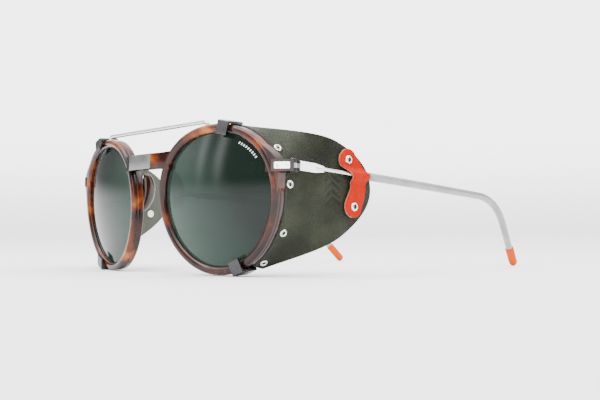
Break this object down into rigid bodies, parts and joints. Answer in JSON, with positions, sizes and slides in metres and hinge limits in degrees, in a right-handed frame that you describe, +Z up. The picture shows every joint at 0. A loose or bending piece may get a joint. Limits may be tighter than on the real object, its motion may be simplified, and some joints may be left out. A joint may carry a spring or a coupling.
{
  "type": "glacier glasses",
  "caption": "Round-lens mountaineering sunglasses with a wire brow bar, folding wire temples with soft tips, and riveted leather side shields looped to the temples.",
  "frame": {"origin": "centre of the footprint's box, on the surface that the rims and temple tips stand on", "axes": "+X towards the wearer's left, +Y back along the temples, +Z up"},
  "size_m": [0.1344, 0.1622, 0.0537],
  "materials": {
    "front": "glossy tortoise acetate",
    "lens": "green-grey tinted, darker towards the temples",
    "bar": "polished",
    "nose_pad": "glossy",
    "plaque": "polished",
    "hinge_metal": "satin",
    "carrier": "satin gunmetal",
    "hook": "satin gunmetal",
    "leather": "grained khaki leather with a suede inner face",
    "eyelet": "bright",
    "washer": "bright",
    "wire": "bright drawn wire",
    "sleeve": "pale grey, half clear",
    "tip": "orange",
    "strap": "orange-red, smooth"
  },
  "bodies": {
    "front": {"front_frame": "front", "lens_left": "lens", "lens_right": "lens", "brow_bar": "bar", "nose_pad_left": "nose_pad", "nose_pad_right": "nose_pad", "hinge_plaque_left": "plaque", "hinge_plaque_right": "plaque", "hinge_front_leaf_left": "hinge_metal", "hinge_front_leaf_right": "hinge_metal", "shield_carrier_left": "carrier", "shield_carrier_right": "carrier", "shield_hook_top_left": "hook", "shield_hook_top_right": "hook", "shield_hook_bottom_left": "hook", "shield_hook_bottom_right": "hook", "side_shield_left": "leather", "side_shield_right": "leather", "shield_eyelets_left": "eyelet", "shield_eyelets_right": "eyelet", "eyelet_washers_left": "washer", "eyelet_washers_right": "washer", "hinge_screw_left": "hinge_metal", "hinge_screw_right": "hinge_metal"},
    "temple_left": {"temple_arm_left": "plaque", "hinge_temple_leaf_left": "hinge_metal", "temple_wire_left": "wire", "temple_sleeve_left": "sleeve", "temple_tip_left": "tip", "strap_loop_left": "strap", "strap_rivets_left": "eyelet", "rivet_washers_left": "washer"},
    "temple_right": {"temple_arm_right": "plaque", "hinge_temple_leaf_right": "hinge_metal", "temple_wire_right": "wire", "temple_sleeve_right": "sleeve", "temple_tip_right": "tip", "strap_loop_right": "strap", "strap_rivets_right": "eyelet", "rivet_washers_right": "washer"}
  },
  "joints": [
    {"name": "temple_fold_left", "type": "hinge", "parent": "front", "child": "temple_left", "pos_m": [0.06289, -0.06305, 0.0365], "axis": [0, 0, 1], "range_deg": [0, 78], "deforming": ["side_shield_left"]},
    {"name": "temple_fold_right", "type": "hinge", "parent": "front", "child": "temple_right", "pos_m": [-0.06289, -0.06305, 0.0365], "axis": [0, 0, -1], "range_deg": [0, 60], "deforming": ["side_shield_right"]}
  ]
}
